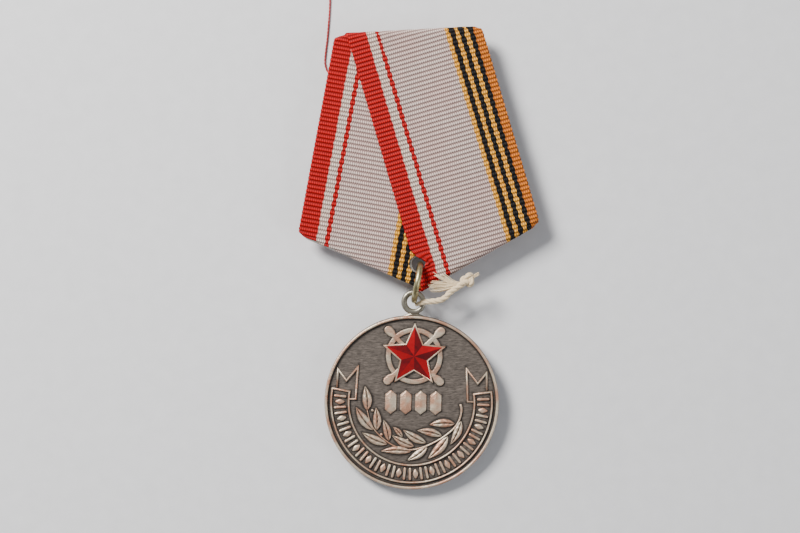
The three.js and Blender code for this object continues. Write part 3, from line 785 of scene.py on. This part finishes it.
def star_enamel(material):
    """Ten facets rise from the star's edge to its centre, with a ridge along each point."""
    corners = star_outline(*STAR_ENAMEL)
    steps = 14
    points, faces, facet_shading = [], [], []
    for k in range(10):
        a, b = corners[k], corners[(k + 1) % 10]
        first = len(points)
        index = {}
        for i in range(steps + 1):
            for j in range(steps + 1 - i):
                p, q = i / steps, j / steps
                flat = STAR_CENTRE + (a - STAR_CENTRE) * p + (b - STAR_CENTRE) * q
                inward = max(0.0, 1 - p - q)
                height = 0.36 + 0.5 * inward**0.92
                tip_share = p if k % 2 == 0 else q
                index[i, j] = first + len(index)
                points.append((*flat, FIELD_Z + height + 0.05 * math.sin(pi * (p + q)) * tip_share))
                # Painted light and shade: alternate facets are lighter and darker, and both lighten towards
                # the tip of their point.
                facet_shading.append((0.15 if k % 2 else 0.7) + 0.25 * tip_share)
        for i in range(steps):
            for j in range(steps - i):
                faces.append((index[i, j], index[i + 1, j], index[i, j + 1]))
                if i + j < steps - 1:
                    faces.append((index[i + 1, j], index[i + 1, j + 1], index[i, j + 1]))
        skirt = [index[steps - j, j] for j in range(steps + 1)]
        lower = []
        for vertex in skirt:
            x, y, _ = points[vertex]
            lower.append(len(points))
            points.append((x, y, FIELD_Z - 0.05))
            facet_shading.append(0.0)
        for j in range(steps):
            faces.append((skirt[j], lower[j], lower[j + 1], skirt[j + 1]))
    body = (points, faces)
    return new_piece("enamel_star", body, MEDAL, material, smooth=False, attributes={"wear_and_facet_light": facet_shading})


def relief_piece(name, parts, material, smooth):
    points, faces = joined(parts)
    above = points[:, 2] - FIELD_Z
    wear_and_facet_light = np.clip((above - 0.06) / 0.24, 0, 1)
    # Patina and painted shade at the foot of each relief piece, darkest where it meets the field.
    patina_and_shade = 0.85 * np.clip(1 - above / 0.17, 0, 1)
    attributes = {"wear_and_facet_light": wear_and_facet_light, "patina_and_shade": patina_and_shade}
    return new_piece(name, (points, faces), MEDAL, material, smooth, attributes=attributes), points


def disc_blank(material, relief_points):
    """The disc with its rim. The field darkens where it meets the relief and at the foot of the rim: patina
    together with painted shade.
    """
    rim, half = DISC_RADIUS, DISC_HALF
    inside = rim - 0.55
    radii = [0.0] + list(np.linspace(0.12, inside - 0.22, 118))
    face = [(r, FIELD_Z) for r in radii]
    bead = [
        (inside - 0.12, FIELD_Z + 0.05), (inside - 0.03, FIELD_Z + 0.26), (inside + 0.05, half - 0.1),
        (inside + 0.14, half - 0.02), (inside + 0.26, half), (rim - 0.16, half - 0.03),
        (rim - 0.05, half - 0.12), (rim, half - 0.26),
    ]
    edge = [(rim, z) for z in (0.4, 0.0, -0.4)]
    back = [
        (rim, -half + 0.24), (rim - 0.06, -half + 0.1), (rim - 0.18, -half + 0.02),
        (inside, -half), (inside - 0.1, -half + 0.06), (inside - 0.2, -half + 0.28),
    ]
    reverse = [(r, -half + 0.3) for r in np.linspace(inside - 0.35, 0.4, 14)] + [(0.0, -half + 0.3)]
    profile = (face + bead + edge + back + reverse)[::-1]
    points, faces = lathe(profile, 400)
    tree = kdtree.KDTree(len(relief_points))
    for k, (x, y, _) in enumerate(relief_points):
        tree.insert((x, y, 0), k)
    tree.balance()
    distance = np.array([tree.find((x, y, 0))[2] for x, y, _ in points])
    radius = np.hypot(points[:, 0], points[:, 1])
    front = points[:, 2] > 0
    to_rim = np.abs(inside - 0.15 - radius)
    # Patina and painted shade: a dark halo on the field round the relief, and a dark line at the foot of the
    # rim.
    patina_and_shade = 0.85 * np.exp(-((distance / 0.26) ** 2)) * front * (radius < inside - 0.2)
    patina_and_shade = np.maximum(patina_and_shade, 0.8 * np.exp(-((to_rim / 0.2) ** 2)) * (np.abs(points[:, 2]) < half - 0.12))
    wear_and_facet_light = np.clip((np.abs(points[:, 2]) - 0.85) / 0.22, 0, 1) + 0.25 * (radius > rim - 0.02)
    wear_and_facet_light = np.where(front | (radius > inside), wear_and_facet_light, 0.12)
    return new_piece("disc_blank", (points, faces), MEDAL, material, attributes={"wear_and_facet_light": wear_and_facet_light, "patina_and_shade": patina_and_shade})


# --- plate and pin

PLATE_HALF = 0.4
PIN_BAR_Y, PIN_BAR_HALF, PIN_BAR_HALF_WIDTH = 26.0, 12.5, 2.2
BAR_TOP, BAR_BOTTOM = -0.45, -0.95
NEEDLE_Z = -2.65
HINGE_X = -PIN_BAR_HALF + 1.3


def rounded_outline(corners, radius):
    """A polygon with round corners, each a quadratic curve."""
    corners = np.array(corners, float)
    out = []
    for k, corner in enumerate(corners):
        before, after = corners[k - 1] - corner, corners[(k + 1) % len(corners)] - corner
        a = corner + before / np.linalg.norm(before) * radius
        b = corner + after / np.linalg.norm(after) * radius
        for t in np.linspace(0, 1, 6):
            out.append((1 - t) ** 2 * a + 2 * t * (1 - t) * corner + t * t * b)
    return np.array(out)


def bevelled(piece, width_mm):
    modifier = piece.modifiers.new("bevel", "BEVEL")
    modifier.width = width_mm * MM
    modifier.segments = 3
    modifier.limit_method = "ANGLE"
    modifier.angle_limit = math.radians(35)
    modifier.harden_normals = False
    return piece


def slab(outline, low, high, hole=None):
    """A flat sheet of the given outline, with a round hole where one is asked for."""
    count = len(outline)
    if hole is None:
        points = np.vstack([np.c_[outline, np.full(count, low)], np.c_[outline, np.full(count, high)]])
        faces = [[k, (k + 1) % count, count + (k + 1) % count, count + k] for k in range(count)]
        return points, faces + [list(range(count))[::-1], list(range(count, 2 * count))]
    (x, y), radius = hole
    angle = np.arctan2(outline[:, 1] - y, outline[:, 0] - x)
    ring = polar(radius, angle) + [x, y]
    loops = [np.c_[outline, np.full(count, low)], np.c_[outline, np.full(count, high)],
             np.c_[ring, np.full(count, high)], np.c_[ring, np.full(count, low)]]
    return np.vstack(loops), grid_faces(4, count, True, True).tolist()


def upright_slab(outline, half, y, hole=None):
    """A sheet that stands across Y, from an outline in X and Z."""
    points, faces = slab(outline, -half, half, hole)
    return np.stack([points[:, 0], y - points[:, 2], points[:, 1]], 1), faces


def dense_outline(corners, radius):
    outline, spacing = rounded_outline(corners, radius), 0.9
    out = []
    for k, point in enumerate(outline):
        after = outline[(k + 1) % len(outline)]
        count = max(1, int(np.linalg.norm(after - point) / spacing))
        out += [point + (after - point) * j / count for j in range(count)]
    return np.array(out)


def block_plate(material):
    inset = 0.85
    top, wide = BLOCK_TOP_HALF - 0.3, BLOCK_WIDE_HALF - inset
    corners = [(-top, BLOCK_TOP - inset), (-wide, BLOCK_WIDE_Y), (0, BLOCK_TIP_Y + inset),
               (wide, BLOCK_WIDE_Y), (top, BLOCK_TOP - inset)]
    outline = dense_outline(corners, 1.1)
    sheet = slab(outline, -PLATE_HALF, PLATE_HALF, ((0, 0), TIP_HOLE_RADIUS))
    return bevelled(new_piece("plate_sheet", sheet, BLOCK, material, smooth=False), 0.12)


def pin_bar(material):
    """One stamping: a strip, two hinge ears at one end and a snap catch at the other."""
    strip = rounded_outline([(-PIN_BAR_HALF, -PIN_BAR_HALF_WIDTH), (PIN_BAR_HALF, -PIN_BAR_HALF_WIDTH),
                             (PIN_BAR_HALF, PIN_BAR_HALF_WIDTH), (-PIN_BAR_HALF, PIN_BAR_HALF_WIDTH)], 0.9)
    parts = [slab(strip + np.array([0, PIN_BAR_Y]), BAR_BOTTOM, BAR_TOP)]
    for side in (-1, 1):
        y = PIN_BAR_Y + side * 1.175
        turn = np.radians(np.linspace(180, 360, 19))
        ear = polar(1.25, turn) + [HINGE_X, NEEDLE_Z]
        ear = np.vstack([ear, [HINGE_X + 1.25, BAR_BOTTOM + 0.1], [HINGE_X - 1.25, BAR_BOTTOM + 0.1]])
        parts.append(upright_slab(ear, 0.26, y, ((HINGE_X, NEEDLE_Z), 0.6)))
        leaf_y = PIN_BAR_Y + side * 0.77
        x = PIN_BAR_HALF - 1.8
        root, foot = BAR_BOTTOM + 0.1, FLOOR_Z + 0.12
        lip = rounded_outline([(x - 1.3, root), (x - 1.2, foot), (x + 1.2, foot), (x + 1.3, root)], 0.5)
        parts.append(upright_slab(lip, 0.18, leaf_y))
    return bevelled(new_piece("pin_bar_stamping", joined(parts), BLOCK, material, smooth=False), 0.07)


def rivet(name, centre, material):
    """A dome-headed rivet seen from its head."""
    head = [(0, -0.6), (0.35, -0.58), (0.75, -0.47), (1.05, -0.3), (1.2, -0.12), (1.22, -0.06), (0.6, -0.05),
            (0.6, 1.2), (0, 1.2)]
    points, faces = lathe(head, 40)
    return new_piece(name, (points + np.array(centre), faces), BLOCK, material)


def hinge_rivet(material):
    half = 1.5
    head = [(0.45, half), (0.9, half + 0.06), (0.75, half + 0.28), (0.45, half + 0.42), (0, half + 0.45)]
    points, faces = lathe([(r, -z) for r, z in head[::-1]] + head, 36)
    turned = np.stack([points[:, 0], points[:, 2], -points[:, 1]], 1) + [HINGE_X, PIN_BAR_Y, NEEDLE_Z]
    return new_piece("hinge_pin", (turned, faces), BLOCK, material)


def needle(material):
    """Drawn wire flattened into an eye at the hinge and ground to a point."""
    length = 23.5
    x = np.concatenate([np.linspace(0.85, 19.3, 24), np.linspace(19.6, length, 16)])
    radii = np.interp(x, [0.8, 1.6, 19.5, 22, length - 0.3, length], [0.5, 0.42, 0.42, 0.3, 0.09, 0.02])
    path = np.stack([HINGE_X + x, 0 * x + PIN_BAR_Y, NEEDLE_Z + 0 * x], 1)
    shaft = tube(path, radii, 24)
    turn = np.radians(np.arange(0, 360, 9))
    eye = polar(1.0, turn) + [HINGE_X, NEEDLE_Z]
    knuckle = upright_slab(eye, 0.68, PIN_BAR_Y, ((HINGE_X, NEEDLE_Z), 0.53))
    return new_piece("needle_wire", joined([shaft, knuckle]), BLOCK, material)


# --- threads

def twisted(path, radius, plies, lay, sides=8, ply_share=0.54):
    """Plies laid round each other along a path. lay is the length of one turn."""
    _, side, up = path_frames(path)
    travelled = np.concatenate([[0], np.cumsum(np.linalg.norm(np.diff(path, axis=0), axis=1))])
    ply_radius = radius * ply_share
    parts = []
    for k in range(plies):
        angle = 2 * pi * (travelled / lay + k / plies)
        round_it = np.cos(angle)[:, None] * side + np.sin(angle)[:, None] * up
        centre = path + np.reshape(radius - ply_radius, (-1, 1)) * round_it
        parts.append(tube(centre, ply_radius, sides))
    return joined(parts)


def stitches(name, start, end, count, sway, material):
    """A zigzag seam: each stitch is a short twisted length pulled into the ribbon at its ends."""
    start, end = np.array(start, float), np.array(end, float)
    run = end - start
    across = np.array([-run[1], run[0]]) / np.linalg.norm(run)
    outer = -(PLATE_HALF + 0.72)
    corners = [start + run * k / count + across * (sway if k % 2 else -sway) for k in range(count + 1)]
    parts = []
    for a, b in zip(corners, corners[1:]):
        t = np.linspace(0, 1, 15)
        flat = a + (b - a) * t[:, None]
        z = outer - 0.2 * np.sin(pi * t) ** 0.5 + 0.1
        parts.append(twisted(np.c_[flat, z], 0.15, 2, 0.8, 6))
    return new_piece(name, joined(parts), BLOCK, material)


RED_DIAMETER = 0.35
RED_ROUTE = [
    (-10.4, 34.4, 1.6), (-11, 34.8, 0.9), (-11.9, 35.2, 0.35), (-13, 35.6, 0), (-14, 35.9, 0),
    (-14.9, 36.3, 0), (-15.5, 37.2, 0), (-15.75, 38.6, 0), (-15.5, 40.6, 0), (-15.1, 42.9, 0),
    (-14.75, 45.4, 0), (-14.45, 47.6, 0), (-14.25, 49.7, 0), (-14.1, 51.8, 0), (-14.2, 54, 0),
    (-14.6, 56.2, 0), (-15.2, 58.3, 0), (-15.9, 60.2, 0), (-16.5, 62.3, 0),
]


def red_thread(material):
    route = np.array(RED_ROUTE)
    route[:, 2] += FLOOR_Z + RED_DIAMETER / 2 + 0.03
    path = smooth_path(route, 0.1)
    piece = new_piece("red_sewing_thread", twisted(path, RED_DIAMETER / 2, 2, 1.3, 8), BLOCK, material)
    place(piece, "block", "thread_red", "loose_red_thread")


def filaments(route, count, spread, radius, seed):
    """Loose fibres that follow a route, parting towards its end."""
    rng = np.random.default_rng(seed)
    path = smooth_path(route, 0.22)
    _, side, up = path_frames(path)
    share = np.linspace(0, 1, len(path))
    parts = []
    for _ in range(count):
        angle, reach = rng.uniform(0, 2 * pi), math.sqrt(rng.uniform(0.05, 1))
        drift = spread[0] + (spread[1] - spread[0]) * share**1.3
        sway = 0.12 * np.sin(share * rng.uniform(3, 8) + rng.uniform(0, 6)) * share
        end = int(len(path) * rng.uniform(0.74, 1.0))
        offset = (drift * reach + sway)[:, None] * (math.cos(angle) * side + math.sin(angle) * 0.55 * up)
        line = (path + offset)[:max(6, end)]
        parts.append(tube(line, radius * np.linspace(1, 0.45, len(line)), 5))
    return parts


def tie_thread(material):
    """Linen yarn from inside the eyelet to a knot, and the frayed ends that lie back over the ribbon."""
    yarn_route = [
        (-1.15, -7.35, -1.0), (-0.75, -7.25, 0.0), (-0.2, -7.15, 0.85), (0.6, -7.0, 1.3), (1.5, -6.95, 1.6),
        (2.5, -6.93, 1.75), (3.5, -6.75, 1.85), (4.3, -6.3, 1.9), (5.0, -5.6, 1.95), (5.8, -5.05, 2.0),
        (6.65, -4.55, 2.1), (7.6, -4.0, 2.2),
    ]
    path = smooth_path(yarn_route, 0.12)
    thickness = np.interp(np.linspace(0, 1, len(path)), [0, 0.3, 1], [0.4, 0.5, 0.62])
    yarn = [twisted(path, thickness, 3, 3.4, 10, 0.56)]
    yarn += filaments(yarn_route[3:], 14, (0.5, 0.55), 0.045, 3)
    piece = new_piece("tie_yarn", joined(yarn), BLOCK, material)
    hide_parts("tie_thread")
    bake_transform(piece)
    # The knot: an overhand turn of the same yarn, pulled tight round itself.
    t = np.linspace(0, 2 * pi, 140)
    centre = np.array([8.45, -3.45, 2.2])
    way, cross = np.array([0.87, 0.49, 0.0]), np.array([-0.49, 0.87, 0.0])
    along = 0.36 * (np.sin(t) + 2 * np.sin(2 * t))
    over = 0.31 * (np.cos(t) - 2 * np.cos(2 * t))
    lift = np.stack([0 * t, 0 * t, -0.36 * np.sin(3 * t)], 1)
    turn = centre + along[:, None] * way + over[:, None] * cross + lift
    knot = [twisted(turn, 0.5, 3, 2.6, 10, 0.56)]
    core = centre + np.outer(np.linspace(-1.6, 0.9, 16), way)
    knot.append(twisted(core, 0.62, 3, 2.8, 10, 0.56))
    cut_end = [centre + way, centre + 1.6 * way, centre + [1.9, 1.05, -0.1], centre + [2.3, 1.1, -0.15]]
    knot += filaments(cut_end, 16, (0.25, 0.3), 0.06, 5)
    knot += filaments([centre - 0.5 * way, centre, centre + 0.8 * way], 22, (0.9, 0.95), 0.05, 6)
    fray_routes = [
        ([(7.6, -3.9, 2.2), (6.5, -3.85, 2.15), (5, -3.6, 1.95), (3.3, -2.6, 1.85), (1.9, -1.7, 1.85)], 15),
        ([(7.6, -3.9, 2.1), (6.4, -4.0, 2.1), (4.6, -3.9, 1.9), (2.8, -3.65, 1.85), (1.2, -3.5, 1.85)], 18),
        ([(7.6, -4.0, 2.1), (6.3, -4.2, 2.05), (4.4, -4.35, 1.9), (2.6, -4.3, 1.85), (0.9, -4.15, 1.85)], 18),
        ([(7.6, -4.0, 2.0), (6.3, -4.4, 2.0), (4.6, -4.8, 1.9), (2.8, -5.05, 1.8), (1.0, -4.9, 1.75)], 10),
        ([(7.6, -4.0, 2.1), (6.5, -3.9, 2.1), (5.4, -3.4, 1.95), (4.3, -2.5, 1.85), (3.2, -1.9, 1.85)], 9),
    ]
    for k, (route, count) in enumerate(fray_routes):
        knot += filaments(route, count, (0.26, 0.42), 0.1, 20 + k)
    place(new_piece("tie_knot_and_fray", joined(knot), BLOCK, material), "ring", "thread_linen")


# --- assembly

make_camera()
make_lights()

red = thread_material("red_thread", colour(205, 36, 38), colour(120, 8, 12), 0.06)
linen = thread_material("linen_thread", colour(248, 232, 198), colour(196, 164, 118), 0.09)
red_thread(red)
tie_thread(linen)

silk = ribbon_material()
left_panel, left_length = ribbon_panel("left_ribbon", -1, half_stack=0.78, inset=0.45, material=silk)
right_panel, right_length = ribbon_panel("right_ribbon", 1, half_stack=1.13, inset=0.1, material=silk)
place(left_panel, "block", "ribbon_moire", "ribbon_left_panel")
place(right_panel, "block", "ribbon_moire", "ribbon_right_panel")

aluminium = plated_material("block_aluminium", colour(186, 182, 176), colour(128, 122, 114), 0.42)
steel = plated_material("pin_steel", colour(176, 174, 168), colour(118, 114, 106), 0.34)
ring_metal = plated_material("ring_brass", colour(206, 198, 156), colour(124, 112, 76), 0.3)
eyelet_metal = plated_material("eyelet_silver", colour(190, 184, 168), colour(98, 92, 80), 0.34)
struck = struck_material(
    "struck_silver", colour(24, 19, 17), colour(204, 187, 164), colour(104, 95, 88), 0.46)

place(block_plate(aluminium), "block", "block_metal", "block_plate")
place(pin_bar(steel), "block", "pin_steel", "pin_bar")
for node, x in (("bar_rivet_left", -6.5), ("bar_rivet_right", 6.5)):
    head = rivet(node + "_dome", (x, PIN_BAR_Y, BAR_BOTTOM), aluminium)
    place(head, "block", "block_metal", node)
place(hinge_rivet(steel), "block", "pin_steel", "hinge_rivet")
place(needle(steel), "needle", "pin_steel", "needle")
for node, start, end, count, sway in (
    ("upper_seam", (-11.6, 38.4), (11.6, 38.4), 20, 0.9),
    ("lower_left_seam", (-17.5, 6.4), (-4.6, -0.1), 12, 0.7),
    ("lower_right_seam", (4.6, -0.1), (17.5, 6.4), 12, 0.7),
):
    place(stitches(node + "_stitches", start, end, count, sway, red), "block", "thread_red", node)

place(jump_ring(ring_metal), "ring", "ring_metal", "jump_ring")
place(eyelet(eyelet_metal), "medal", "pin_steel", "eyelet")
relief = {
    "star_border": [ridge(star_outline(*STAR_BORDER), 0.18, 0.46, closed=True, flatness=3.0, steps=13)],
    "ring_and_batons": emblem_parts(),
    "stud_row": [stud((0.3 + 2.75 * k, 0.05), 2.2, 4.6) for k in (-1.5, -0.5, 0.5, 1.5)],
    "laurel_branch": laurel_parts(),
    "scroll_frame": scroll_parts(),
    "scroll_pattern": pattern_parts(),
}
relief_points = []
for name, parts in relief.items():
    piece, points = relief_piece(name, parts, struck, smooth=name != "stud_row")
    place(piece, "medal", "struck_metal", "medal_disc")
    relief_points.append(points[points[:, 2] < FIELD_Z + 0.2])
place(disc_blank(struck, np.vstack(relief_points)), "medal", "struck_metal", "medal_disc")
place(star_enamel(enamel_material()), "medal", "enamel_red", "star_enamel")

bpy.ops.mesh.primitive_plane_add(size=1.6, location=(0, 0, -0.00002))
floor = bpy.context.object
floor.name = "floor"
floor.data.materials.append(floor_material())
